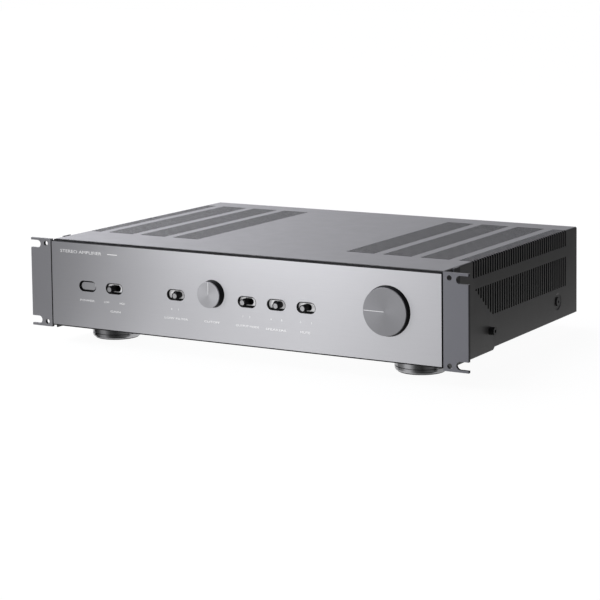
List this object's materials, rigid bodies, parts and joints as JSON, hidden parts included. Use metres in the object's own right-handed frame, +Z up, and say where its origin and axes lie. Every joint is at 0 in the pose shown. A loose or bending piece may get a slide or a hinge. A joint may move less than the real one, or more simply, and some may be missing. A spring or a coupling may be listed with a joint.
{
  "type": "integrated amplifier",
  "caption": "Rack-width stereo integrated amplifier: satin front panel with a large level knob, a small filter knob, slide switches and a power button, vented folded cover, ears and feet.",
  "frame": {"origin": "bottom centre of the whole amplifier: middle of its width and of its depth, on the plane of the feet", "axes": "+X to the right seen from the front, +Y from the front panel to the rear panel, +Z up"},
  "size_m": [0.4826, 0.3294, 0.1012],
  "materials": {
    "satin_aluminium": "fine satin, black edges",
    "black_steel": "satin black powder coat",
    "cover_steel": "fine-textured charcoal paint",
    "ear_steel": "satin grey paint",
    "zinc_sheet": "zinc-plated sheet",
    "zinc_steel": "zinc plated",
    "black_screw": "blackened",
    "black_plastic": "moulded satin",
    "button_plastic": "satin silver",
    "lever_plastic": "black with a silver end face",
    "switch_steel": "satin silver",
    "knob_black": "smooth black sides",
    "spun_aluminium": "spun, fine circular grain",
    "rubber": "matt",
    "red_plastic": "moulded gloss",
    "plated_brass": "plated",
    "brass": "bright",
    "circuit_board": "solder-mask green",
    "winding_tape": "amber tape over copper windings on a steel core",
    "capacitor_sleeve": "shrink sleeve",
    "relay_plastic": "moulded",
    "sink_aluminium": "black anodised extrusion",
    "wire_pvc": "PVC insulation",
    "ribbon_pvc": "grey flat cable"
  },
  "bodies": {
    "chassis": {"front_panel": "satin_aluminium", "front_subpanel": "black_steel", "front_panel_screws": "zinc_steel", "left_rack_ear": "ear_steel", "right_rack_ear": "ear_steel", "rack_ear_screws": "black_screw", "top_cover": "cover_steel", "case_screws": "black_screw", "base_tray": "zinc_sheet", "rear_panel": "black_steel", "foot_bodies": "black_plastic", "foot_pads": "rubber", "foot_screws": "zinc_steel", "power_button_bezel": "black_plastic", "power_switch": "black_plastic", "slide_switch_bezels": "black_plastic", "slide_switch_plates": "switch_steel", "slide_switch_bodies": "black_plastic", "level_control": "zinc_steel", "filter_control": "zinc_steel", "control_nuts": "zinc_steel", "control_board": "circuit_board", "transformer": "winding_tape", "transformer_pads": "rubber", "transformer_plate": "black_steel", "transformer_bolt": "zinc_steel", "supply_board": "circuit_board", "amplifier_boards": "circuit_board", "capacitors": "capacitor_sleeve", "bridge_rectifier": "black_plastic", "output_relays": "relay_plastic", "left_heatsink": "sink_aluminium", "right_heatsink": "sink_aluminium", "output_transistors": "black_plastic", "board_standoffs": "brass", "power_leads": "wire_pvc", "ribbon_cable": "ribbon_pvc", "mains_inlet": "black_plastic", "input_block": "black_plastic", "input_sockets": "plated_brass", "trigger_jacks": "black_plastic", "post_bases": "black_plastic", "speaker_posts": "plated_brass"},
    "power_button": {"power_button": "button_plastic"},
    "level_knob": {"level_knob": "knob_black", "level_knob_disc": "spun_aluminium", "level_shaft": "zinc_steel"},
    "filter_knob": {"filter_knob": "knob_black", "filter_knob_disc": "spun_aluminium", "filter_shaft": "zinc_steel"},
    "fuse_drawer": {"fuse_drawer": "black_plastic"},
    "left_positive_nut": {"left_positive_nut": "red_plastic"},
    "left_negative_nut": {"left_negative_nut": "black_plastic"},
    "right_positive_nut": {"right_positive_nut": "red_plastic"},
    "right_negative_nut": {"right_negative_nut": "black_plastic"},
    "slide_lever_1": {"slide_lever_1": "lever_plastic"},
    "slide_lever_2": {"slide_lever_2": "lever_plastic"},
    "slide_lever_3": {"slide_lever_3": "lever_plastic"},
    "slide_lever_4": {"slide_lever_4": "lever_plastic"},
    "slide_lever_5": {"slide_lever_5": "lever_plastic"}
  },
  "joints": [
    {"name": "power_button_press", "type": "slide", "parent": "chassis", "child": "power_button", "axis": [0, 1, 0], "range_m": [0, 0.0025], "stiffness_N_per_m": 300},
    {"name": "slide_switch_1_travel", "type": "slide", "parent": "chassis", "child": "slide_lever_1", "axis": [1, 0, 0], "range_m": [0, 0.0043]},
    {"name": "slide_switch_2_travel", "type": "slide", "parent": "chassis", "child": "slide_lever_2", "axis": [1, 0, 0], "range_m": [-0.0043, 0]},
    {"name": "slide_switch_3_travel", "type": "slide", "parent": "chassis", "child": "slide_lever_3", "axis": [1, 0, 0], "range_m": [0, 0.0043]},
    {"name": "slide_switch_4_travel", "type": "slide", "parent": "chassis", "child": "slide_lever_4", "axis": [1, 0, 0], "range_m": [-0.0043, 0]},
    {"name": "slide_switch_5_travel", "type": "slide", "parent": "chassis", "child": "slide_lever_5", "axis": [1, 0, 0], "range_m": [0, 0.002]},
    {"name": "filter_knob_turn", "type": "hinge", "parent": "chassis", "child": "filter_knob", "pos_m": [-0.02525, -0.1565, 0.0619], "axis": [0, 1, 0], "range_deg": [-150, 150]},
    {"name": "level_knob_turn", "type": "hinge", "parent": "chassis", "child": "level_knob", "pos_m": [0.1613, -0.1565, 0.06175], "axis": [0, 1, 0], "range_deg": [-60, 240]},
    {"name": "left_positive_nut_unscrew", "type": "slide", "parent": "chassis", "child": "left_positive_nut", "axis": [0, 1, 0], "range_m": [0, 0.0045]},
    {"name": "left_negative_nut_unscrew", "type": "slide", "parent": "chassis", "child": "left_negative_nut", "axis": [0, 1, 0], "range_m": [0, 0.0045]},
    {"name": "right_positive_nut_unscrew", "type": "slide", "parent": "chassis", "child": "right_positive_nut", "axis": [0, 1, 0], "range_m": [0, 0.0045]},
    {"name": "right_negative_nut_unscrew", "type": "slide", "parent": "chassis", "child": "right_negative_nut", "axis": [0, 1, 0], "range_m": [0, 0.0045]},
    {"name": "fuse_drawer_pull", "type": "slide", "parent": "chassis", "child": "fuse_drawer", "axis": [0, 1, 0], "range_m": [0, 0.012]}
  ]
}
